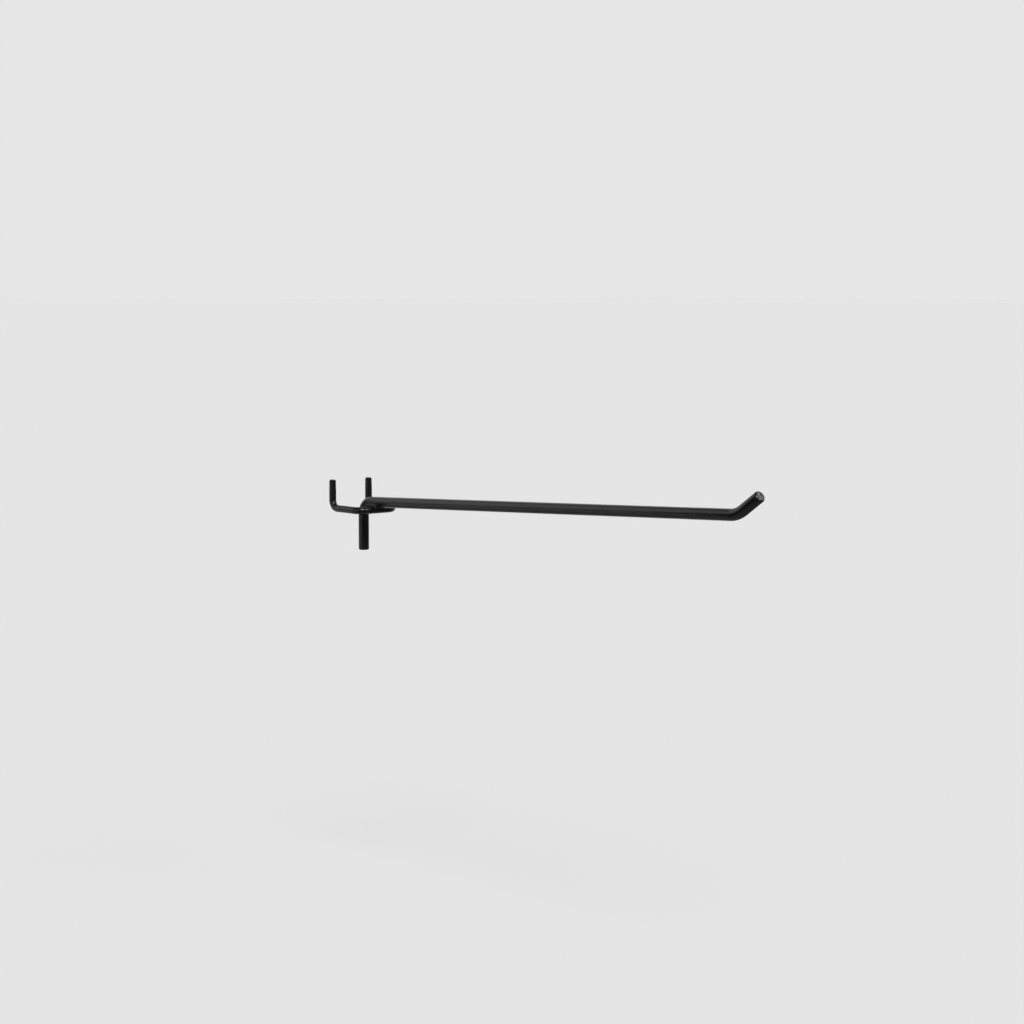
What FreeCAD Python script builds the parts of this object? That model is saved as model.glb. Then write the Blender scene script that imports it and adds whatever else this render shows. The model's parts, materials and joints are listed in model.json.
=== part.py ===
import FreeCAD, Part
import math
import os
import Sketcher

# Pegboard hook, bent from two coated steel wires.
# The thick wire is the arm: a heel leg whose back lies in the mounting plane, a knee, a straight run
# that rises a little outward, and a raised tip that keeps goods on. The thin wire is a flat staple
# welded under the arm: its two prongs pass back through the mounting plane and turn up behind it.
# Millimetres, +Z up. The mounting plane is Y = 0, and the arm runs out from it along -Y. The origin
# lies in that plane, midway between the prongs, at the height of their axes.

SIZES = [
    ("arm_wire_dia", "5.9", "thick wire across its coating"),
    ("staple_wire_dia", "3.94", "thin wire across its coating"),
    ("hole_pitch", "25.4", "prong to prong, one step of the standard hole grid"),
    ("arm_reach", "306.3", "mounting plane to the middle of the tip's end face"),
    ("arm_rise", "2.62", "slope of the arm above level, degrees"),
    ("knee_radius", "7.3", "bend between leg and arm, at the wire's middle"),
    ("leg_drop", "23.5", "end of the leg below the prongs' axes"),
    ("tip_bend", "31.5", "turn of the tip up from the arm, degrees"),
    ("tip_radius", "16.5", "bend between arm and tip, at the wire's middle"),
    ("tip_straight", "13.2", "tip beyond its bend"),
    ("arm_end_round", "0.9", "rounded rim at both ends of the thick wire"),
    ("staple_reach", "16.3", "mounting plane to the middle of the staple's front bar"),
    ("staple_corner", "5.8", "corners of the staple, at the wire's middle"),
    ("panel_gap", "7", "mounting plane to the front of the upturned prongs"),
    ("prong_radius", "4.5", "upward bend of a prong, at the wire's middle"),
    ("prong_height", "16", "top of a prong above the prongs' axes"),
    ("prong_chamfer", "0.8", "chamfered rim at the prongs' ends"),
    ("weld_setdown", "0.7", "depth that the two wires are pressed into each other"),
    ("weld_fillet", "1", "fillet of weld metal round the crossing of the wires"),
]

doc = FreeCAD.newDocument("pegboard_hook")
sheet = doc.addObject("Spreadsheet::Sheet", "Sizes")
for row, (alias, value, meaning) in enumerate(SIZES, start=1):
    sheet.set(f"A{row}", alias)
    sheet.set(f"B{row}", value)
    sheet.set(f"C{row}", meaning)
    sheet.setAlias(f"B{row}", alias)
doc.recompute()


def size(alias):
    """A driving dimension as the sheet holds it now."""
    return float(sheet.get(alias))


def origin_plane(body, role):
    """One of a body's own base planes."""
    return next(plane for plane in body.Origin.OriginFeatures if plane.Role == role)


def new_sketch(body, name, role):
    """An empty sketch on one of the body's base planes."""
    sketch = body.newObject("Sketcher::SketchObject", name)
    sketch.AttachmentSupport = [(origin_plane(body, role), "")]
    sketch.MapMode = "FlatFace"
    return sketch


def bind(sketch, name, constraint, formula):
    """Adds a constraint under a name and ties its value to the sheet."""
    index = sketch.addConstraint(constraint)
    sketch.renameConstraint(index, name)
    sketch.setExpression(f"Constraints.{name}", formula)


def join_tangent(sketch, run, run_end, arc):
    """Makes an arc leave the given end of a straight run without a kink."""
    corner = sketch.getPoint(run, run_end)
    near = min((1, 2), key=lambda end: (sketch.getPoint(arc, end) - corner).Length)
    sketch.addConstraint(Sketcher.Constraint("Tangent", run, run_end, arc, near))


def bent_path(sketch, corners, bends):
    """Draws a wire's middle line: straight runs between the corners, with a tangent arc at each bend.

    Each bend is a name and the alias of its radius. Returns the indices of the runs.
    """
    points = [FreeCAD.Vector(x, y, 0) for x, y in corners]
    starts = [points[0]]
    ends = []
    arcs = []
    for before, corner, after, (_, alias) in zip(points, points[1:], points[2:], bends):
        back = (before - corner).normalize()
        ahead = (after - corner).normalize()
        half_angle = back.getAngle(ahead) / 2
        tangent = size(alias) / math.tan(half_angle)
        to_middle = size(alias) / math.sin(half_angle) - size(alias)
        middle = corner + (back + ahead).normalize() * to_middle
        ends.append(corner + back * tangent)
        starts.append(corner + ahead * tangent)
        arcs.append(Part.Arc(ends[-1], middle, starts[-1]))
    ends.append(points[-1])
    runs = [sketch.addGeometry(Part.LineSegment(a, b), False) for a, b in zip(starts, ends)]
    for run, next_run, arc, (name, alias) in zip(runs, runs[1:], arcs, bends):
        curve = sketch.addGeometry(arc, False)
        join_tangent(sketch, run, 2, curve)
        join_tangent(sketch, next_run, 1, curve)
        bind(sketch, name, Sketcher.Constraint("Radius", curve, size(alias)), f"Sizes.{alias}")
    return runs


def sweep(body, name, section, path):
    """Sweeps a wire's round section along its middle line."""
    pipe = body.newObject("PartDesign::AdditivePipe", name)
    pipe.Profile = section
    pipe.Spine = (path, [f"Edge{i + 1}" for i in range(len(path.Shape.Edges))])
    doc.recompute()
    return pipe


def dress_edges(body, feature_type, name, edges, amount, alias):
    """Puts a fillet or a chamfer on some edges of the body's last feature, sized from the sheet."""
    base = body.Tip
    numbers = [i for i, edge in enumerate(base.Shape.Edges, 1) if any(edge.isSame(one) for one in edges)]
    feature = body.newObject(feature_type, name)
    feature.Base = (base, [f"Edge{i}" for i in numbers])
    feature.setExpression(amount, f"Sizes.{alias}")
    doc.recompute()


def end_rims(body):
    """The rims of the flat end faces of the body's wire."""
    return [face.Edges[0] for face in body.Tip.Shape.Faces if isinstance(face.Surface, Part.Plane)]


# The arm: its middle line lies in the plane X = 0, drawn with Y across and Z up.
arm = doc.addObject("PartDesign::Body", "ArmBody")
arm.Label = "hook_arm"

ARM_AXIS_ABOVE_BAR = "(Sizes.arm_wire_dia + Sizes.staple_wire_dia) / 2 - Sizes.weld_setdown"
leg_y = -size("arm_wire_dia") / 2
rise = math.radians(size("arm_rise"))
tip_rise = rise + math.radians(size("tip_bend"))
axis_above_bar = (size("arm_wire_dia") + size("staple_wire_dia")) / 2 - size("weld_setdown")
axis_above_bar_upright = axis_above_bar / math.cos(rise)


def arm_axis_z(y):
    """Height of the arm's middle line, which passes the staple's front bar at the weld's distance."""
    return axis_above_bar_upright - (y + size("staple_reach")) * math.tan(rise)


tip_run = size("tip_straight") + size("tip_radius") * math.tan(math.radians(size("tip_bend")) / 2)
tip_corner_y = -size("arm_reach") + tip_run * math.cos(tip_rise)
tip_end_z = arm_axis_z(tip_corner_y) + tip_run * math.sin(tip_rise)

arm_path = new_sketch(arm, "ArmPath", "YZ_Plane")
leg_run, arm_run, tip_end_run = bent_path(
    arm_path,
    [
        (leg_y, -size("leg_drop")),
        (leg_y, arm_axis_z(leg_y)),
        (tip_corner_y, arm_axis_z(tip_corner_y)),
        (-size("arm_reach"), tip_end_z),
    ],
    [("knee", "knee_radius"), ("tip_curve", "tip_radius")],
)
bar_point = arm_path.addGeometry(Part.Point(FreeCAD.Vector(-size("staple_reach"), 0, 0)), True)
arm_path.addConstraint(Sketcher.Constraint("PointOnObject", bar_point, 1, -1))
arm_path.addConstraint(Sketcher.Constraint("Vertical", leg_run))
bind(
    arm_path, "bar_place",
    Sketcher.Constraint("DistanceX", -1, 1, bar_point, 1, -size("staple_reach")),
    "-Sizes.staple_reach",
)
bind(
    arm_path, "leg_place",
    Sketcher.Constraint("DistanceX", -1, 1, leg_run, 1, leg_y),
    "-Sizes.arm_wire_dia / 2",
)
bind(
    arm_path, "leg_end",
    Sketcher.Constraint("DistanceY", -1, 1, leg_run, 1, -size("leg_drop")),
    "-Sizes.leg_drop",
)
bind(
    arm_path, "weld_distance",
    Sketcher.Constraint("Distance", bar_point, 1, arm_run, axis_above_bar),
    ARM_AXIS_ABOVE_BAR,
)
bind(
    arm_path, "arm_slope",
    Sketcher.Constraint("Angle", arm_run, math.pi - rise),
    "(180 - Sizes.arm_rise) * 1 deg",
)
bind(
    arm_path, "tip_slope",
    Sketcher.Constraint("Angle", tip_end_run, math.pi - tip_rise),
    "(180 - Sizes.arm_rise - Sizes.tip_bend) * 1 deg",
)
bind(
    arm_path, "tip_length",
    Sketcher.Constraint("Distance", tip_end_run, size("tip_straight")),
    "Sizes.tip_straight",
)
bind(
    arm_path, "tip_place",
    Sketcher.Constraint("DistanceX", -1, 1, tip_end_run, 2, -size("arm_reach")),
    "-Sizes.arm_reach",
)

arm_section = new_sketch(arm, "ArmSection", "XY_Plane")
arm_section.setExpression("AttachmentOffset.Base.z", "-Sizes.leg_drop")
arm_circle = arm_section.addGeometry(
    Part.Circle(FreeCAD.Vector(0, leg_y, 0), FreeCAD.Vector(0, 0, 1), -leg_y), False
)
arm_section.addConstraint(Sketcher.Constraint("PointOnObject", arm_circle, 3, -2))
bind(
    arm_section, "leg_place",
    Sketcher.Constraint("DistanceY", -1, 1, arm_circle, 3, leg_y),
    "-Sizes.arm_wire_dia / 2",
)
bind(
    arm_section, "wire",
    Sketcher.Constraint("Diameter", arm_circle, size("arm_wire_dia")),
    "Sizes.arm_wire_dia",
)
doc.recompute()
sweep(arm, "ArmWire", arm_section, arm_path)
dress_edges(arm, "PartDesign::Fillet", "ArmEnds", end_rims(arm), "Radius", "arm_end_round")

# The staple: front bar and two arms lie in the plane Z = 0, and each prong in the plane of its arm.
staple_blank = doc.addObject("PartDesign::Body", "StapleBody")
half_pitch = size("hole_pitch") / 2
tail_y = size("panel_gap") + size("staple_wire_dia") / 2

bow_path = new_sketch(staple_blank, "BowPath", "XY_Plane")
right_run, bar_run, left_run = bent_path(
    bow_path,
    [
        (half_pitch, 0),
        (half_pitch, -size("staple_reach")),
        (-half_pitch, -size("staple_reach")),
        (-half_pitch, 0),
    ],
    [("right_corner", "staple_corner"), ("left_corner", "staple_corner")],
)
bow_path.addConstraint(Sketcher.Constraint("Vertical", right_run))
bow_path.addConstraint(Sketcher.Constraint("Vertical", left_run))
bow_path.addConstraint(Sketcher.Constraint("Horizontal", bar_run))
bow_path.addConstraint(Sketcher.Constraint("PointOnObject", right_run, 1, -1))
bow_path.addConstraint(Sketcher.Constraint("PointOnObject", left_run, 2, -1))
bind(
    bow_path, "right_place",
    Sketcher.Constraint("DistanceX", -1, 1, right_run, 1, half_pitch),
    "Sizes.hole_pitch / 2",
)
bind(
    bow_path, "left_place",
    Sketcher.Constraint("DistanceX", left_run, 2, -1, 1, half_pitch),
    "Sizes.hole_pitch / 2",
)
bind(
    bow_path, "bar_place",
    Sketcher.Constraint("DistanceY", -1, 1, bar_run, 1, -size("staple_reach")),
    "-Sizes.staple_reach",
)

prong_path = new_sketch(staple_blank, "ProngPath", "YZ_Plane")
prong_path.setExpression("AttachmentOffset.Base.z", "Sizes.hole_pitch / 2")
through_run, tail_run = bent_path(
    prong_path,
    [(0, 0), (tail_y, 0), (tail_y, size("prong_height"))],
    [("prong_bend", "prong_radius")],
)
prong_path.addConstraint(Sketcher.Constraint("Coincident", through_run, 1, -1, 1))
prong_path.addConstraint(Sketcher.Constraint("Horizontal", through_run))
prong_path.addConstraint(Sketcher.Constraint("Vertical", tail_run))
bind(
    prong_path, "tail_place",
    Sketcher.Constraint("DistanceX", -1, 1, tail_run, 2, tail_y),
    "Sizes.panel_gap + Sizes.staple_wire_dia / 2",
)
bind(
    prong_path, "tail_top",
    Sketcher.Constraint("DistanceY", -1, 1, tail_run, 2, size("prong_height")),
    "Sizes.prong_height",
)

staple_section = new_sketch(staple_blank, "StapleSection", "XZ_Plane")
staple_wire_radius = size("staple_wire_dia") / 2
staple_circle = staple_section.addGeometry(
    Part.Circle(FreeCAD.Vector(half_pitch, 0, 0), FreeCAD.Vector(0, 0, 1), staple_wire_radius), False
)
staple_section.addConstraint(Sketcher.Constraint("PointOnObject", staple_circle, 3, -1))
bind(
    staple_section, "prong_place",
    Sketcher.Constraint("DistanceX", -1, 1, staple_circle, 3, half_pitch),
    "Sizes.hole_pitch / 2",
)
bind(
    staple_section, "wire",
    Sketcher.Constraint("Diameter", staple_circle, size("staple_wire_dia")),
    "Sizes.staple_wire_dia",
)
doc.recompute()
sweep(staple_blank, "Bow", staple_section, bow_path)
right_prong = sweep(staple_blank, "RightProng", staple_section, prong_path)
left_prong = staple_blank.newObject("PartDesign::Mirrored", "LeftProng")
left_prong.Originals = [right_prong]
left_prong.MirrorPlane = (origin_plane(staple_blank, "YZ_Plane"), [""])
staple_blank.Tip = left_prong
doc.recompute()
dress_edges(
    staple_blank, "PartDesign::Chamfer", "ProngEnds", end_rims(staple_blank), "Size", "prong_chamfer"
)

# The weld: the two wires pressed into each other, with a fillet of metal all round their crossing.
# The fillet stays with the staple, which is what is left when the arm is cut out of the welded pair.
crossed = doc.addObject("Part::Fuse", "CrossedWires")
crossed.Base = arm
crossed.Tool = staple_blank
doc.recompute()

welded = doc.addObject("PartDesign::Body", "WeldedBody")
welded.BaseFeature = crossed
doc.recompute()

ON_SURFACE = 0.001


def lies_on(edge, shape):
    """Whether the middle of an edge lies on a shape."""
    middle = edge.valueAt((edge.FirstParameter + edge.LastParameter) / 2)
    return Part.Vertex(middle).distToShape(shape)[0] < ON_SURFACE


crossing = [
    edge for edge in welded.Tip.Shape.Edges
    if lies_on(edge, arm.Shape) and lies_on(edge, staple_blank.Shape)
]
dress_edges(welded, "PartDesign::Fillet", "WeldFillet", crossing, "Radius", "weld_fillet")

staple = doc.addObject("Part::Cut", "StapleWithWeld")
staple.Label = "prong_staple"
staple.Base = welded
staple.Tool = arm
doc.recompute()

for item in doc.Objects:
    if "Invalid" in item.State or "Error" in item.State:
        raise RuntimeError(f"{item.Label} did not build: {item.State}")

SUB_PARTS = [arm, staple]
for piece in SUB_PARTS:
    if piece.Shape.isNull() or not piece.Shape.isValid() or len(piece.Shape.Solids) != 1:
        raise RuntimeError(f"{piece.Label} is not one sound solid")

os.makedirs("parts", exist_ok=True)
for piece in SUB_PARTS:
    piece.Shape.exportStep(os.path.join("parts", f"{piece.Label}.step"))
    box = piece.Shape.optimalBoundingBox()
    print(f"{piece.Label}: {piece.Shape.Volume:.1f} cubic mm, "
          f"x {box.XMin:.2f} to {box.XMax:.2f}, y {box.YMin:.2f} to {box.YMax:.2f}, "
          f"z {box.ZMin:.2f} to {box.ZMax:.2f}")
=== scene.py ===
# %% [markdown]
# A wire display hook, as a lesson in dressing an engineered part in Blender.
# The real hook is two lengths of steel wire: a thick one bent into leg, arm and raised tip, and a thin
# one bent into a staple with two upturned prongs. They are welded where they cross, and the whole is
# then coated black. The engineered solids come in first, as a frame that is never moved. Everything
# below is built round that frame, in metres and in the same place.

# %% Load the frame
import json
import math

import bmesh
import bpy
from mathutils import Euler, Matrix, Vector


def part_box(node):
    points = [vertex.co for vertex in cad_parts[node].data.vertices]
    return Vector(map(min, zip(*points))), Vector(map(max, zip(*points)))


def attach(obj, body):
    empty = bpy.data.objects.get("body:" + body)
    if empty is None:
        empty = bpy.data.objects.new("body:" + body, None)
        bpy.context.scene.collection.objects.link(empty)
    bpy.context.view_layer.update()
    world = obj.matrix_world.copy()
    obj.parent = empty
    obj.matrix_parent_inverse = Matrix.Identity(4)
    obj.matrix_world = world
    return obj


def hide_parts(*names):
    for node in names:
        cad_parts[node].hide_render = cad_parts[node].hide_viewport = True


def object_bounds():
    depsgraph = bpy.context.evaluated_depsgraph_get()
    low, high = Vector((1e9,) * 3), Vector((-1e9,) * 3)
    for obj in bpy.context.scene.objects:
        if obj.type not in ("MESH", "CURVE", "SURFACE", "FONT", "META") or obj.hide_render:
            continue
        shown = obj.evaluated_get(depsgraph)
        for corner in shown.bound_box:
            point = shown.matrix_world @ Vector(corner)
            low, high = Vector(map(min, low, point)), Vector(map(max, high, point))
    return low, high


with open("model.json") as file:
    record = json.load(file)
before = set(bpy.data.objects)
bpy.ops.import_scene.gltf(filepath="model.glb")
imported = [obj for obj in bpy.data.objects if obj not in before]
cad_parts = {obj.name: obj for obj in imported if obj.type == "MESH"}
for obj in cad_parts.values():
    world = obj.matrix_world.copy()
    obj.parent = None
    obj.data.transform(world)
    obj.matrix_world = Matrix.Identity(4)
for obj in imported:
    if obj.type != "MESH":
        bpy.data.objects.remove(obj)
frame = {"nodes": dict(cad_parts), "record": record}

cad_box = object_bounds()
record = frame["record"]
print("nodes in the frame:", sorted(frame["nodes"]))

# %% [markdown]
# A bent wire is known from very little: how thick it is, where its corners lie and how tightly each
# corner is rounded. The thickness and the places of the ends are read from the frame, so that the looks
# follow the solids. Only slopes and bend radii, which no box or mount tells, are written down here.

# %% Corners of the arm's middle line
MM = 0.001
ARM_RISE = math.radians(2.62)
TIP_BEND = math.radians(31.5)
TIP_STRAIGHT = 13.2 * MM
TIP_RADIUS = 16.5 * MM
KNEE_RADIUS = 7.3 * MM
ARM_END_ROUND = 0.9 * MM

mounts = {mount["name"]: mount for mount in record["mounts"]}
arm_radius = mounts["arm_tip"]["dims"]["r_mm"] * MM
arm_low, arm_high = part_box("hook_arm")
tip_axis = Vector(mounts["arm_tip"]["axis"])
half_tip = mounts["arm_tip"]["dims"]["length_mm"] * MM / 2
tip_end = Vector(mounts["arm_tip"]["pos_m"]) + tip_axis * (half_tip + ARM_END_ROUND)
tip_corner = tip_end - tip_axis * (TIP_STRAIGHT + TIP_RADIUS * math.tan(TIP_BEND / 2))
leg_y = -arm_radius  # the back of the leg lies in the mounting plane, Y = 0
knee_corner = Vector((0, leg_y, tip_corner.z - (leg_y - tip_corner.y) * math.tan(ARM_RISE)))
leg_end = Vector((0, leg_y, arm_low.z))
arm_corners = [(leg_end, 0), (knee_corner, KNEE_RADIUS), (tip_corner, TIP_RADIUS), (tip_end, 0)]
print("arm wire", round(2 * arm_radius / MM, 2), "mm thick, tip at", [round(x / MM, 2) for x in tip_end])

# %% Corners of the staple's middle line
STAPLE_REACH = 16.3 * MM
STAPLE_CORNER = 5.8 * MM
PRONG_RADIUS = 4.5 * MM

staple_radius = mounts["right_prong"]["dims"]["r_mm"] * MM
prong_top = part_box("prong_staple")[1].z
right_x, prong_y, _ = mounts["right_prong"]["pos_m"]
left_x = mounts["left_prong"]["pos_m"][0]
staple_corners = [
    (Vector((right_x, prong_y, prong_top)), 0),
    (Vector((right_x, prong_y, 0)), PRONG_RADIUS),
    (Vector((right_x, -STAPLE_REACH, 0)), STAPLE_CORNER),
    (Vector((left_x, -STAPLE_REACH, 0)), STAPLE_CORNER),
    (Vector((left_x, prong_y, 0)), PRONG_RADIUS),
    (Vector((left_x, prong_y, prong_top)), 0),
]
prong_pitch = right_x - left_x
print(
    "staple wire", round(2 * staple_radius / MM, 2), "mm thick,",
    "prongs", round(prong_pitch / MM, 2), "mm apart",
)

# %% [markdown]
# Two helpers serve the whole lesson. A colour is written the way a paint chart or a picture editor
# shows it, as a hex value, and turned into the linear light that Blender computes with. And a node, of
# any kind and in any tree, is added by one call that sets its properties and fills its inputs.

# %% A colour and a node
def linear(hex_colour):
    """Turns an sRGB hex value such as #808080 into a linear colour with full alpha."""
    channels = [int(hex_colour[i:i + 2], 16) / 255 for i in (1, 3, 5)]
    return [c / 12.92 if c <= 0.04045 else ((c + 0.055) / 1.055) ** 2.4 for c in channels] + [1.0]


def add_node(tree, kind, inputs=None, **settings):
    """Adds a node. Inputs go by name or number, and take a value, a socket, or a node's first output."""
    node = tree.nodes.new(kind)
    for name, value in settings.items():
        setattr(node, name, value)
    for key, value in (inputs or {}).items():
        if isinstance(key, int):
            socket = node.inputs[key]
        else:
            socket = next(s for s in node.inputs if s.enabled and s.name == key)
        if isinstance(value, bpy.types.Node):
            value = next(s for s in value.outputs if s.enabled)
        if isinstance(value, bpy.types.NodeSocket):
            tree.links.new(value, socket)
        else:
            socket.default_value = value
    return node


print("middle grey, #808080, in linear light:", [round(c, 4) for c in linear("#808080")])

# %% [markdown]
# The finish is satin black powder coating: resin powder that is sprayed on charged and baked until it
# flows. It gives the eye a deep neutral black under a soft, slightly wavy sheen, the orange peel of the
# melted powder. What slides along the arm rubs faint, duller streaks into it. On the sheared ends it is
# worn through to rough grey steel, up to an edge that wanders over the rim. A picture could carry all
# this, but noise needs no seam and stays sharp close up. Peel and steel follow Object coordinates. The
# streaks follow an attribute that each wire carries: the place of a point on the straight wire.

# %% Powder coating: peel and streaks
PEEL_SIZE = 1.6 * MM
PEEL_DETAIL = 1.5
STREAK_WIDTH = 0.7 * MM
STREAK_LENGTH = 28 * MM
STREAK_DETAIL = 3.0
STREAK_RANGE = (0.52, 0.72)  # noise below the first value is no streak, above the second a full one

coating = bpy.data.materials.new("satin_black_powder_coating")
coating.use_nodes = True
coat = coating.node_tree
coat.nodes.clear()
place = add_node(coat, "ShaderNodeTexCoord").outputs["Object"]
straight_place = add_node(coat, "ShaderNodeAttribute", attribute_name="straight_wire").outputs["Vector"]
peel = add_node(
    coat, "ShaderNodeTexNoise", {"Vector": place, "Scale": 1 / PEEL_SIZE, "Detail": PEEL_DETAIL},
)
stretched = add_node(
    coat, "ShaderNodeVectorMath",
    {0: straight_place, 1: (1 / STREAK_WIDTH, 1 / STREAK_WIDTH, 1 / STREAK_LENGTH)}, operation="MULTIPLY",
)
streak_noise = add_node(
    coat, "ShaderNodeTexNoise", {"Vector": stretched, "Scale": 1.0, "Detail": STREAK_DETAIL},
)
streaks = add_node(
    coat, "ShaderNodeMapRange",
    {"Value": streak_noise, "From Min": STREAK_RANGE[0], "From Max": STREAK_RANGE[1]},
    interpolation_type="SMOOTHSTEP",
)
print("peel and streaks:", len(coat.nodes), "nodes")

# %% Powder coating: bare steel at the sheared ends
SHEAR_GRAIN = 1.3 * MM
SHEAR_DETAIL = 2.0
SHEAR_SEED = 1.3  # the fourth coordinate of the noise, which picks one pattern
SHEAR_RANGE = (0.4, 0.64)  # noise from the darkest to the palest steel
SHEAR_WANDER = 0.9  # how far the noise carries the coating's edge over the rim
BARE_RANGE = (1.0, 1.2)  # end mark plus wander, from coated to bare

end_face = add_node(coat, "ShaderNodeAttribute", attribute_name="end_face").outputs["Fac"]
shear_noise = add_node(
    coat, "ShaderNodeTexNoise",
    {"Vector": place, "W": SHEAR_SEED, "Scale": 1 / SHEAR_GRAIN, "Detail": SHEAR_DETAIL},
    noise_dimensions="4D",
)
shear_grain = add_node(
    coat, "ShaderNodeMapRange",
    {"Value": shear_noise, "From Min": SHEAR_RANGE[0], "From Max": SHEAR_RANGE[1]},
)
wander = add_node(
    coat, "ShaderNodeMath", {0: shear_noise, 1: SHEAR_WANDER, 2: end_face}, operation="MULTIPLY_ADD",
)
bare = add_node(
    coat, "ShaderNodeMapRange", {"Value": wander, "From Min": BARE_RANGE[0], "From Max": BARE_RANGE[1]},
    interpolation_type="SMOOTHSTEP",
)
print("with bare steel:", len(coat.nodes), "nodes")

# %% Powder coating: shader
COAT_BLACK = "#0f0f10"
COAT_RUBBED = "#1b1b1c"
SHEARED_DARK = "#222223"
SHEARED_PALE = "#6a6a6b"
PEEL_HEIGHT = 0.035 * MM  # several times the real height, so that the peel still shows from a step away
COAT_ROUGHNESS = 0.21
RUBBED_ROUGHNESS = 0.34
SHEARED_ROUGHNESS = 0.5
COAT_SPECULAR = 0.3  # below the usual 0.5, matched to the depth of the black

coat_colour = add_node(
    coat, "ShaderNodeMix", {"Factor": streaks, "A": linear(COAT_BLACK), "B": linear(COAT_RUBBED)},
    data_type="RGBA",
)
sheared_colour = add_node(
    coat, "ShaderNodeMix", {"Factor": shear_grain, "A": linear(SHEARED_DARK), "B": linear(SHEARED_PALE)},
    data_type="RGBA",
)
colour = add_node(
    coat, "ShaderNodeMix", {"Factor": bare, "A": coat_colour, "B": sheared_colour}, data_type="RGBA",
)
coat_roughness = add_node(
    coat, "ShaderNodeMapRange", {"Value": streaks, "To Min": COAT_ROUGHNESS, "To Max": RUBBED_ROUGHNESS},
)
roughness = add_node(coat, "ShaderNodeMix", {"Factor": bare, "A": coat_roughness, "B": SHEARED_ROUGHNESS})
bump = add_node(coat, "ShaderNodeBump", {"Height": peel, "Distance": PEEL_HEIGHT})
shader = add_node(
    coat, "ShaderNodeBsdfPrincipled",
    {"Base Color": colour, "Roughness": roughness, "Normal": bump, "Specular IOR Level": COAT_SPECULAR},
)
add_node(coat, "ShaderNodeOutputMaterial", {"Surface": shader})
print("coating:", coating.name, "with", len(coat.nodes), "nodes")

# %% [markdown]
# The main pieces follow one rule: a round section swept along straight runs and tangent bends. A bevelled
# curve object could draw it, but it knows nothing of sheared ends, so the rule is a Geometry Nodes tree
# that both wires share. It takes the corner points as a plain chain of edges, each corner with its own
# bend radius. The first half of the tree rounds the corners and cuts the long runs into short ones.

# %% Geometry Nodes: the inputs of the bent wire
wire_tree = bpy.data.node_groups.new("bent_wire", "GeometryNodeTree")
WIRE_INPUTS = [
    ("Corner Points", "NodeSocketGeometry"),
    ("Wire Diameter", "NodeSocketFloat"),
    ("Sides", "NodeSocketInt"),
    ("Bend Steps", "NodeSocketInt"),
    ("Run Spacing", "NodeSocketFloat"),
    ("End Length", "NodeSocketFloat"),
    ("End Steps", "NodeSocketInt"),
    ("End Roundness", "NodeSocketFloat"),
    ("Coating", "NodeSocketMaterial"),
]
for socket_name, socket_type in WIRE_INPUTS:
    wire_tree.interface.new_socket(socket_name, in_out="INPUT", socket_type=socket_type)
wire_tree.interface.new_socket("Wire", in_out="OUTPUT", socket_type="NodeSocketGeometry")
given = add_node(wire_tree, "NodeGroupInput").outputs
print("inputs of the bent wire:", [name for name, _ in WIRE_INPUTS])

# %% Geometry Nodes: from corner points to a smooth middle line
chain = add_node(wire_tree, "GeometryNodeMeshToCurve", {"Mesh": given["Corner Points"]})
bend_radius = add_node(wire_tree, "GeometryNodeInputNamedAttribute", {"Name": "bend_radius"})
bent = add_node(wire_tree, "GeometryNodeFilletCurve", mode="POLY")
wire_tree.links.new(chain.outputs["Curve"], bent.inputs["Curve"])
wire_tree.links.new(bend_radius.outputs["Attribute"], bent.inputs["Radius"])
wire_tree.links.new(given["Bend Steps"], bent.inputs["Count"])
here = add_node(wire_tree, "GeometryNodeInputPosition")
index = add_node(wire_tree, "GeometryNodeInputIndex")
next_index = add_node(wire_tree, "ShaderNodeMath", {0: index, 1: 1.0}, operation="ADD")
there = add_node(
    wire_tree, "GeometryNodeFieldAtIndex", {"Index": next_index, "Value": here},
    data_type="FLOAT_VECTOR", domain="POINT",
)
gap = add_node(wire_tree, "ShaderNodeVectorMath", {0: here, 1: there}, operation="DISTANCE").outputs["Value"]
runs = add_node(wire_tree, "ShaderNodeMath", {0: gap, 1: given["Run Spacing"]}, operation="DIVIDE")
cuts = add_node(wire_tree, "ShaderNodeMath", {0: runs}, operation="FLOOR")
middle_line = add_node(wire_tree, "GeometryNodeSubdivideCurve", {"Curve": bent, "Cuts": cuts})
print("middle line:", len(wire_tree.nodes), "nodes so far")

# %% [markdown]
# The second half of the tree makes the sheared ends. The last few rings at each end slide outward until
# they lie on the profile of the rim, and shrink with it. A quarter circle gives the rolled rim of the
# thick wire, and a straight line gives the chamfer of the prongs, so one number blends between the two.

# %% Geometry Nodes: how far a ring is from its end
along = add_node(wire_tree, "GeometryNodeSplineParameter").outputs
whole = add_node(wire_tree, "GeometryNodeSplineLength").outputs
to_finish = add_node(
    wire_tree, "ShaderNodeMath", {0: whole["Length"], 1: along["Length"]}, operation="SUBTRACT",
)
from_end = add_node(wire_tree, "ShaderNodeMath", {0: along["Length"], 1: to_finish}, operation="MINIMUM")
lead = add_node(wire_tree, "ShaderNodeMath", {0: to_finish, 1: along["Length"]}, operation="SUBTRACT")
inward = add_node(wire_tree, "ShaderNodeMath", {0: lead}, operation="SIGN")
last = add_node(wire_tree, "ShaderNodeMath", {0: whole["Point Count"], 1: 1.0}, operation="SUBTRACT")
left_over = add_node(wire_tree, "ShaderNodeMath", {0: last, 1: along["Index"]}, operation="SUBTRACT")
ring = add_node(wire_tree, "ShaderNodeMath", {0: along["Index"], 1: left_over}, operation="MINIMUM")
step = add_node(
    wire_tree, "ShaderNodeMath", {0: ring, 1: given["End Steps"]}, operation="DIVIDE", use_clamp=True,
)
print("ring count:", len(wire_tree.nodes), "nodes so far")

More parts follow.
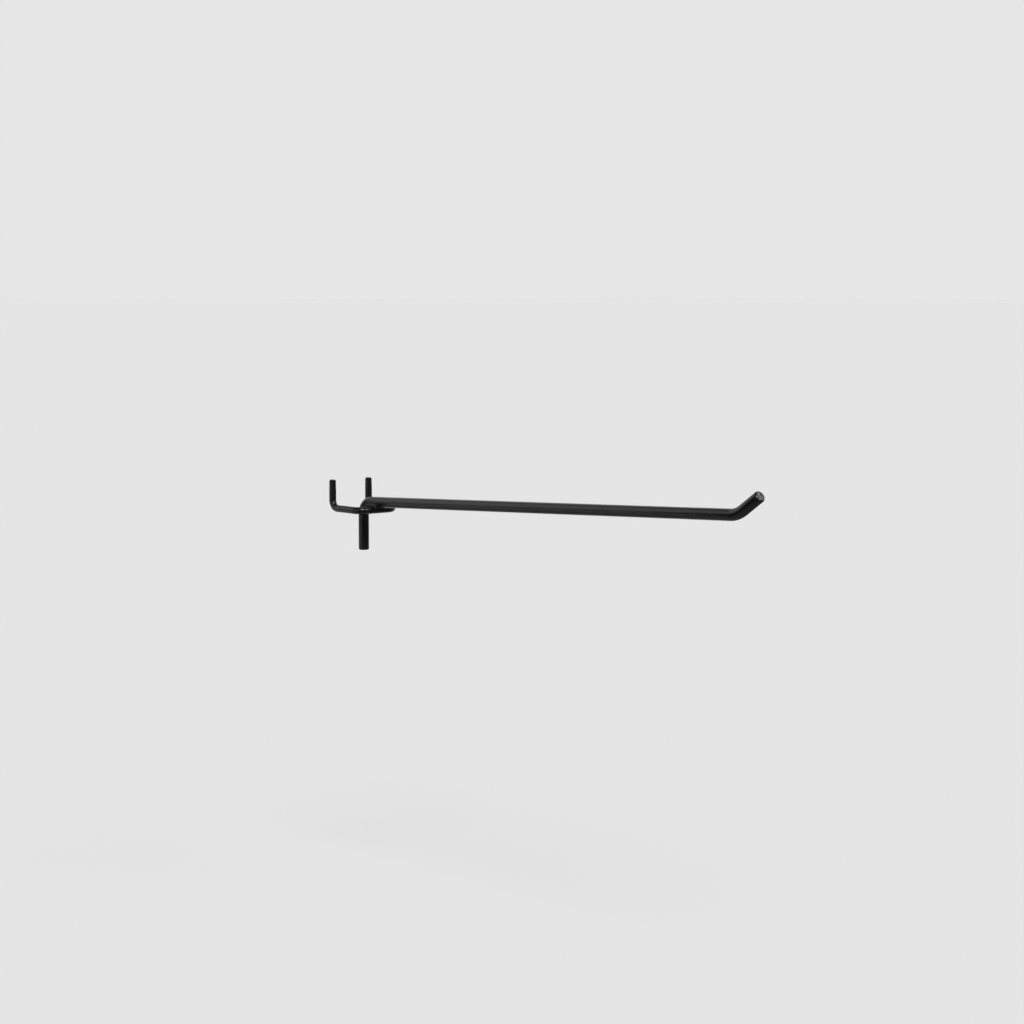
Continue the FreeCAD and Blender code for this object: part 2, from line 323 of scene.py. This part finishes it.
# %% Geometry Nodes: the profile of the rim
turn = add_node(wire_tree, "ShaderNodeMath", {0: step, 1: math.pi / 2}, operation="MULTIPLY")
sine = add_node(wire_tree, "ShaderNodeMath", {0: turn}, operation="SINE")
cosine = add_node(wire_tree, "ShaderNodeMath", {0: turn}, operation="COSINE")
versine = add_node(wire_tree, "ShaderNodeMath", {0: 1.0, 1: cosine}, operation="SUBTRACT")
rim_out = add_node(wire_tree, "ShaderNodeMix", {"Factor": given["End Roundness"], "A": step, "B": sine})
rim_deep = add_node(wire_tree, "ShaderNodeMix", {"Factor": given["End Roundness"], "A": step, "B": versine})
depth = add_node(wire_tree, "ShaderNodeMath", {0: rim_deep, 1: given["End Length"]}, operation="MULTIPLY")
slide = add_node(wire_tree, "ShaderNodeMath", {0: depth, 1: from_end}, operation="SUBTRACT")
signed_slide = add_node(wire_tree, "ShaderNodeMath", {0: slide, 1: inward}, operation="MULTIPLY")
tangent = add_node(wire_tree, "GeometryNodeInputTangent")
shift = add_node(wire_tree, "ShaderNodeVectorMath", {0: tangent, "Scale": signed_slide}, operation="SCALE")
at_rim = add_node(wire_tree, "FunctionNodeCompare", {"A": step, "B": 1.0}, operation="LESS_THAN")
rimmed = add_node(
    wire_tree, "GeometryNodeSetPosition", {"Geometry": middle_line, "Selection": at_rim, "Offset": shift},
)
short = add_node(wire_tree, "ShaderNodeMath", {0: 1.0, 1: rim_out}, operation="SUBTRACT")
radius = add_node(wire_tree, "ShaderNodeMath", {0: given["Wire Diameter"], 1: 0.5}, operation="MULTIPLY")
rim_share = add_node(wire_tree, "ShaderNodeMath", {0: given["End Length"], 1: radius}, operation="DIVIDE")
taper = add_node(wire_tree, "ShaderNodeMath", {0: short, 1: rim_share}, operation="MULTIPLY")
ring_scale = add_node(wire_tree, "ShaderNodeMath", {0: 1.0, 1: taper}, operation="SUBTRACT")
print("rim profile:", len(wire_tree.nodes), "nodes so far")

# %% [markdown]
# Last comes the section. Before it is swept, each ring notes its place along the wire and each point of
# the circle its place on the circle. Together they tell where a point lay on the straight wire, which
# the coating's streaks follow without a seam. The ends are marked too, with 1 on the flat face and a
# fade to 0 over the rim, for the bare steel.

# %% Geometry Nodes: notes and section
end_mark = add_node(wire_tree, "ShaderNodeMath", {0: 1.0, 1: step}, operation="SUBTRACT")
noted_line = add_node(wire_tree, "GeometryNodeCaptureAttribute")
noted_line.capture_items.new("FLOAT", "Along")
noted_line.capture_items.new("FLOAT", "End")
wire_tree.links.new(rimmed.outputs["Geometry"], noted_line.inputs["Geometry"])
wire_tree.links.new(along["Length"], noted_line.inputs["Along"])
wire_tree.links.new(end_mark.outputs["Value"], noted_line.inputs["End"])
circle = add_node(
    wire_tree, "GeometryNodeCurvePrimitiveCircle", {"Resolution": given["Sides"], "Radius": radius},
)
noted_circle = add_node(wire_tree, "GeometryNodeCaptureAttribute")
noted_circle.capture_items.new("VECTOR", "Spot")
wire_tree.links.new(circle.outputs["Curve"], noted_circle.inputs["Geometry"])
wire_tree.links.new(here.outputs["Position"], noted_circle.inputs["Spot"])
swept = add_node(
    wire_tree, "GeometryNodeCurveToMesh",
    {"Curve": noted_line.outputs["Geometry"], "Profile Curve": noted_circle.outputs["Geometry"],
     "Scale": ring_scale, "Fill Caps": True},
)
print("swept section:", len(wire_tree.nodes), "nodes so far")

# %% Geometry Nodes: attributes and coating
spot = add_node(wire_tree, "ShaderNodeSeparateXYZ", {"Vector": noted_circle.outputs["Spot"]}).outputs
straight = add_node(
    wire_tree, "ShaderNodeCombineXYZ", {"X": spot["X"], "Y": spot["Y"], "Z": noted_line.outputs["Along"]},
)
with_place = add_node(
    wire_tree, "GeometryNodeStoreNamedAttribute",
    {"Geometry": swept, "Name": "straight_wire", "Value": straight},
    data_type="FLOAT_VECTOR", domain="POINT",
)
with_ends = add_node(
    wire_tree, "GeometryNodeStoreNamedAttribute",
    {"Geometry": with_place, "Name": "end_face", "Value": noted_line.outputs["End"]},
    data_type="FLOAT", domain="POINT",
)
smooth = add_node(wire_tree, "GeometryNodeSetShadeSmooth", {"Geometry": with_ends})
realized = add_node(wire_tree, "GeometryNodeRealizeInstances", {"Geometry": smooth})
coated = add_node(
    wire_tree, "GeometryNodeSetMaterial", {"Geometry": realized, "Material": given["Coating"]},
)
add_node(wire_tree, "NodeGroupOutput", {"Wire": coated})
print("bent wire:", len(wire_tree.nodes), "nodes in all")

# %% [markdown]
# A wire is made by handing its corners to the tree. The tree's result is then turned into a plain mesh
# and the modifier taken off, so that what is measured, rendered and exported is the same thing.

# %% Bending a wire
def bend_wire(name, corners, sizes):
    """A new object with the bent wire on it, still live. Each corner is a point and its bend radius."""
    chain_mesh = bpy.data.meshes.new(name)
    links = [(i, i + 1) for i in range(len(corners) - 1)]
    chain_mesh.from_pydata([point for point, _ in corners], links, [])
    bends = chain_mesh.attributes.new("bend_radius", "FLOAT", "POINT")
    bends.data.foreach_set("value", [bend for _, bend in corners])
    wire = bpy.data.objects.new(name, chain_mesh)
    bpy.context.scene.collection.objects.link(wire)
    modifier = wire.modifiers.new("bent_wire", "NODES")
    modifier.node_group = wire_tree
    sockets = [item for item in wire_tree.interface.items_tree if item.in_out == "INPUT"]
    identifiers = {socket.name: socket.identifier for socket in sockets}
    for input_name, value in sizes.items():
        modifier[identifiers[input_name]] = value
    return wire


arm = bend_wire("arm_wire", arm_corners, {
    "Wire Diameter": 2 * arm_radius, "Sides": 64, "Bend Steps": 32, "Run Spacing": 1.5 * MM,
    "End Length": ARM_END_ROUND, "End Steps": 8, "End Roundness": 1.0, "Coating": coating,
})
print(arm.name, "runs through", len(arm.data.vertices), "corner points")

# %% From a live wire to a plain mesh
SHARP_EDGE = math.radians(35)


def make_plain(piece):
    """Gives a piece its evaluated mesh and takes its modifiers off."""
    depsgraph = bpy.context.evaluated_depsgraph_get()
    finished = bpy.data.meshes.new_from_object(
        piece.evaluated_get(depsgraph), preserve_all_data_layers=True, depsgraph=depsgraph,
    )
    piece.modifiers.clear()
    piece.data = finished


def report(piece):
    """Prints a piece's box and facets, so that it can be set against its solid."""
    corners = [vertex.co for vertex in piece.data.vertices]
    low = [round(min(c[axis] for c in corners) / MM, 2) for axis in range(3)]
    high = [round(max(c[axis] for c in corners) / MM, 2) for axis in range(3)]
    triangles = sum(len(face.vertices) - 2 for face in piece.data.polygons)
    print(piece.name, "from", low, "to", high, "mm,", triangles, "triangles")


make_plain(arm)
arm.data.set_sharp_from_angle(angle=SHARP_EDGE)
report(arm)
print("its solid from", [round(x / MM, 2) for x in arm_low], "to", [round(x / MM, 2) for x in arm_high])

# %% [markdown]
# The staple is bent by the same tree. A pressure weld squeezes the hot wires into each other, so the
# front bar has a seat in the shape of the arm. A Boolean cut with the arm itself makes that seat exact.
# It leaves faces of many sides, which are cut into triangles, and those without any area are taken out.

# %% The staple
PRONG_CHAMFER = 0.8 * MM
SLIVER = 0.001 * MM  # an edge that is shorter counts as none


def clear_slivers(piece):
    """Cuts a piece's faces of many sides into triangles and takes out those without any area."""
    work = bmesh.new()
    work.from_mesh(piece.data)
    bmesh.ops.triangulate(work, faces=[face for face in work.faces if len(face.verts) > 4])
    bmesh.ops.dissolve_degenerate(work, dist=SLIVER, edges=work.edges)
    work.to_mesh(piece.data)
    work.free()


staple = bend_wire("staple_wire", staple_corners, {
    "Wire Diameter": 2 * staple_radius, "Sides": 56, "Bend Steps": 28, "Run Spacing": 1.2 * MM,
    "End Length": PRONG_CHAMFER, "End Steps": 6, "End Roundness": 0.3, "Coating": coating,
})
seat = staple.modifiers.new("weld_seat", "BOOLEAN")
seat.operation = "DIFFERENCE"
seat.solver = "EXACT"
seat.object = arm
make_plain(staple)
clear_slivers(staple)
staple.data.set_sharp_from_angle(angle=SHARP_EDGE)
report(staple)

# %% [markdown]
# Round the seat lies a fillet of weld metal that the coating has softened. A torus would float off one
# wire or sink into the other, because the groove is a saddle. So a ball is rolled round the groove: its
# middle keeps its own radius from both wires, and the hollow that it leaves is the fillet. The radius
# wavers a little on the way, because squeezed metal is never even.

# %% The weld: a ball that rests on both wires
WELD_FILLET = 1.0 * MM

bar_middle = Vector((0, -STAPLE_REACH, 0))
across = Vector((1, 0, 0))
outward = Vector((0, -math.cos(ARM_RISE), math.sin(ARM_RISE)))
upward = Vector((0, math.sin(ARM_RISE), math.cos(ARM_RISE)))
axis_gap = (tip_corner - bar_middle).dot(upward)


def ball_middle(angle, ball):
    """Middle of a ball that rests on both wires, at an angle round the weld, along bar, arm and height."""
    high = staple_radius + ball
    low = axis_gap - arm_radius - ball
    height = (high + low) / 2 + (high - low) / 2 * math.cos(2 * angle)
    along_bar = math.sqrt(max((arm_radius + ball) ** 2 - (axis_gap - height) ** 2, 0))
    along_arm = math.sqrt(max((staple_radius + ball) ** 2 - height ** 2, 0))
    bar_side = math.copysign(along_bar, math.cos(angle))
    arm_side = math.copysign(along_arm, math.sin(angle))
    return Vector((bar_side, arm_side, height))


beside_arm = [round(x / MM, 2) for x in ball_middle(0, WELD_FILLET)]
print("beside the arm the ball lies", beside_arm, "mm from the bar's middle")

# %% The weld: its section
WELD_ARC_STEPS = 10
WELD_WAVER = [(2, 0.07, 0.6), (5, 0.05, 2.1), (11, 0.03, 4.0)]  # waves, share of the radius, start
WELD_CORE = -0.2 * MM  # the hidden edge of the fillet lies this deep in both wires
WELD_SINK = 0.03 * MM  # its outer edges dip this far into the wires


def weld_section(angle):
    """Points of the fillet's closed section at an angle round the weld: its core, then its hollow face."""
    waver = sum(size * math.sin(waves * angle + start) for waves, size, start in WELD_WAVER)
    ball = WELD_FILLET * (1 + waver)
    middle = ball_middle(angle, ball)
    to_arm = Vector((-middle.x, 0, axis_gap - middle.z)).normalized()
    to_bar = Vector((0, -middle.y, -middle.z)).normalized()
    spread = to_arm.angle(to_bar)
    points = [ball_middle(angle, WELD_CORE), middle + to_arm * (ball + WELD_SINK)]
    for i in range(WELD_ARC_STEPS + 1):
        share = i / WELD_ARC_STEPS
        near_arm = math.sin((1 - share) * spread)
        near_bar = math.sin(share * spread)
        aim = (to_arm * near_arm + to_bar * near_bar) / math.sin(spread)
        points.append(middle + aim * ball)
    points.append(middle + to_bar * (ball + WELD_SINK))
    return [bar_middle + across * p.x + outward * p.y + upward * p.z for p in points]


print("points in a section:", len(weld_section(0)))

# %% The weld: its mesh
WELD_STATIONS = 144

sections = [weld_section(2 * math.pi * i / WELD_STATIONS) for i in range(WELD_STATIONS)]
per_section = len(sections[0])
weld_faces = []
for i in range(WELD_STATIONS):
    for k in range(per_section):
        this, after = i * per_section, (i + 1) % WELD_STATIONS * per_section
        beside = (k + 1) % per_section
        weld_faces.append((this + k, after + k, after + beside, this + beside))
weld_mesh = bpy.data.meshes.new("weld_fillet")
weld_mesh.from_pydata([point for section in sections for point in section], [], weld_faces)
weld = bpy.data.objects.new("weld_fillet", weld_mesh)
bpy.context.scene.collection.objects.link(weld)
weld.data.materials.append(coating)
weld.data.shade_smooth()
weld.data.set_sharp_from_angle(angle=SHARP_EDGE)
report(weld)

# %% [markdown]
# The three pieces now take the places of the two engineered solids. The hook has no joints, so they all
# ride on its one body. The arm stands for the arm, and the staple and its weld for the staple.

# %% Hand the pieces to the frame
for piece, node in [(arm, "hook_arm"), (staple, "prong_staple"), (weld, "prong_staple")]:
    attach(piece, "root")
    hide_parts(node)
    print(piece.name, "stands for", node)

# %% [markdown]
# A black gloss has no colour of its own to show: what the eye reads as its shape is the room that it
# mirrors. So the hook stands under a pale dome, which lights it softly and is the backdrop of every view.
# The dome is even all round and dimmer overhead. The floor lies well below the hook, which is made
# to hang and not to stand. Its paper takes the tone of the dome, so that no edge shows where the two meet.

# %% The dome
BACKDROP_LEVEL = 0.79
OVERHEAD_LEVEL = 0.1
BACKDROP_TOP = math.radians(28)
OVERHEAD_FROM = math.radians(55)

dome = bpy.data.worlds.new("studio_dome")
dome.use_nodes = True
bpy.context.scene.world = dome
sky = dome.node_tree
sky.nodes.clear()
look = add_node(sky, "ShaderNodeTexCoord").outputs["Generated"]
height = add_node(sky, "ShaderNodeSeparateXYZ", {"Vector": look}).outputs["Z"]
level = add_node(
    sky, "ShaderNodeMapRange",
    {"Value": height, "From Min": math.sin(BACKDROP_TOP), "From Max": math.sin(OVERHEAD_FROM),
     "To Min": BACKDROP_LEVEL, "To Max": OVERHEAD_LEVEL},
    interpolation_type="SMOOTHSTEP",
)
glow = add_node(sky, "ShaderNodeBackground", {"Color": (1, 1, 1, 1), "Strength": level})
add_node(sky, "ShaderNodeOutputWorld", {"Surface": glow})
print("dome from", BACKDROP_LEVEL, "at the horizon to", OVERHEAD_LEVEL, "overhead")

# %% The floor
FLOOR_DROP = 200 * MM
FLOOR_HALF = 40.0  # metres, so wide that its edge lies on the horizon
FLOOR_PALE = "#dcdcdc"
QUAD = [(0, 1, 2, 3)]  # one face with four corners


def matt_material(name, hex_colour):
    """A plain matt material for what stands round the hook."""
    matt = bpy.data.materials.new(name)
    matt.use_nodes = True
    matt.node_tree.nodes.clear()
    shade = add_node(matt.node_tree, "ShaderNodeBsdfDiffuse", {"Color": linear(hex_colour)})
    add_node(matt.node_tree, "ShaderNodeOutputMaterial", {"Surface": shade})
    return matt


def stand_by(name, points, faces, material):
    """A mesh that belongs to the studio and not to the hook."""
    mesh = bpy.data.meshes.new(name)
    mesh.from_pydata(points, [], faces)
    mesh.materials.append(material)
    prop = bpy.data.objects.new(name, mesh)
    bpy.context.scene.collection.objects.link(prop)
    return prop


floor_z = cad_box[0].z - FLOOR_DROP
floor_corners = [
    (-FLOOR_HALF, -FLOOR_HALF, floor_z), (FLOOR_HALF, -FLOOR_HALF, floor_z),
    (FLOOR_HALF, FLOOR_HALF, floor_z), (-FLOOR_HALF, FLOOR_HALF, floor_z),
]
stand_by("floor", floor_corners, QUAD, matt_material("matt_paper", FLOOR_PALE))
print("floor at", round(floor_z / MM, 1), "mm")

# %% [markdown]
# Pale surroundings on every side would turn the black to grey. A photographer of black gloss hangs a
# black cloth, a flag, on the lens's side, and the faces turned that way then mirror only darkness. Here
# it is bent to a U round the hook, open at the back. Pale cloths go on from it on both sides, dimmer than
# the dome because they stand in their own shade, and a grey cloth lies on the ground. The lens looks
# through all of them: camera rays pass, and so do the light and the shadows, and only what the gloss
# mirrors changes.

# %% The black flag
FLAG_HALF_WIDTH = 200 * MM
FLAG_BACK_EDGE = -60 * MM
FLAG_TOP = 100 * MM
FLAG_STEPS = 36
FLAG_BLACK = "#080808"

bend_y = cad_box[0].y
flag_line = [(FLAG_HALF_WIDTH, FLAG_BACK_EDGE)]
for i in range(FLAG_STEPS + 1):
    angle = math.pi * i / FLAG_STEPS
    flag_line.append((FLAG_HALF_WIDTH * math.cos(angle), bend_y - FLAG_HALF_WIDTH * math.sin(angle)))
flag_line.append((-FLAG_HALF_WIDTH, FLAG_BACK_EDGE))
flag_points = [(x, y, z) for x, y in flag_line for z in (floor_z, FLAG_TOP)]
flag_faces = [(2 * i, 2 * i + 1, 2 * i + 3, 2 * i + 2) for i in range(len(flag_line) - 1)]
flag = stand_by("black_flag", flag_points, flag_faces, matt_material("black_cloth", FLAG_BLACK))
print("flag", round(2 * FLAG_HALF_WIDTH / MM), "mm wide")

# %% The cloths on the ground and at the sides
CLOTH_BACK_EDGE = 300 * MM
CLOTH_LIFT = 1 * MM
CLOTH_GREY = "#8e8e8e"
SIDE_BACK_EDGE = 400 * MM
SIDE_TOP = 50 * MM
SIDE_PALE = "#f0f0f0"

front_y = bend_y - FLAG_HALF_WIDTH
cloth_z = floor_z + CLOTH_LIFT
cloth_points = [
    (-FLAG_HALF_WIDTH, front_y, cloth_z), (FLAG_HALF_WIDTH, front_y, cloth_z),
    (FLAG_HALF_WIDTH, CLOTH_BACK_EDGE, cloth_z), (-FLAG_HALF_WIDTH, CLOTH_BACK_EDGE, cloth_z),
]
cloth = stand_by("ground_cloth", cloth_points, QUAD, matt_material("grey_cloth", CLOTH_GREY))
side_cloth = matt_material("pale_cloth", SIDE_PALE)
mirrored_only = [flag, cloth]
for name, x in [("left_cloth", -FLAG_HALF_WIDTH), ("right_cloth", FLAG_HALF_WIDTH)]:
    side_points = [
        (x, FLAG_BACK_EDGE, floor_z), (x, SIDE_BACK_EDGE, floor_z),
        (x, SIDE_BACK_EDGE, SIDE_TOP), (x, FLAG_BACK_EDGE, SIDE_TOP),
    ]
    mirrored_only.append(stand_by(name, side_points, QUAD, side_cloth))
for prop in mirrored_only:
    prop.visible_camera = False
    prop.visible_diffuse = False
    prop.visible_shadow = False
print("only the gloss shows", [prop.name for prop in mirrored_only])

# %% [markdown]
# Three lamps draw the highlights. A sun lamp is so far off that it is even over the whole arm and floor,
# and a wide disc makes it a softbox. The gloss mirrors that disc, but the camera does not see it. The key
# stands to the left, above the camera, and the weaker fill at the front. The third stands behind on the
# left and lays the long soft streak on the arm. Each lamp has the side that it stands on, the width of
# its disc and the disc's brightness, where 1 is white. Blender asks for the light that falls on a surface
# instead, so the brightness is turned into that.

# %% The lamps
LAMPS = [
    ("key", Vector((-0.43, -0.56, 0.71)), math.radians(25), 14.5),
    ("fill", Vector((0.15, -0.74, 0.66)), math.radians(25), 6.5),
    ("streak", Vector((-0.5, 0.79, 0.35)), math.radians(44), 0.4),
]

for name, side, disc, brightness in LAMPS:
    lamp = bpy.data.lights.new(name, "SUN")
    lamp.angle = disc
    lamp.energy = brightness * math.pi * math.sin(disc / 2) ** 2
    softbox = bpy.data.objects.new(name, lamp)
    softbox.rotation_euler = side.to_track_quat("Z", "Y").to_euler()
    bpy.context.scene.collection.objects.link(softbox)
    print(name, "lamp at strength", round(lamp.energy, 2))

# %% [markdown]
# The camera stands where the picture of the hook was taken: far off to the left of the arm's end with a
# long lens, a little above the arm. The long lens is what keeps the far end of the arm nearly as thick
# as the near one. No depth of field and no shift are needed.

# %% The camera
CAMERA_PLACE = Vector((-831.31, -1082.24, 125.98)) * MM
CAMERA_TILT = math.radians(84.614)
CAMERA_TURN = math.radians(-41.112)
CAMERA_LENS = 85.43
CAMERA_SENSOR = 36.0

camera_data = bpy.data.cameras.new("camera")
camera_data.lens = CAMERA_LENS
camera_data.sensor_width = CAMERA_SENSOR
camera = bpy.data.objects.new("camera", camera_data)
camera.location = CAMERA_PLACE
camera.rotation_euler = Euler((CAMERA_TILT, 0, CAMERA_TURN))
bpy.context.scene.collection.objects.link(camera)
bpy.context.scene.camera = camera
bpy.context.scene.view_settings.view_transform = "Standard"
print("camera", round(camera.location.length, 3), "m from the origin")
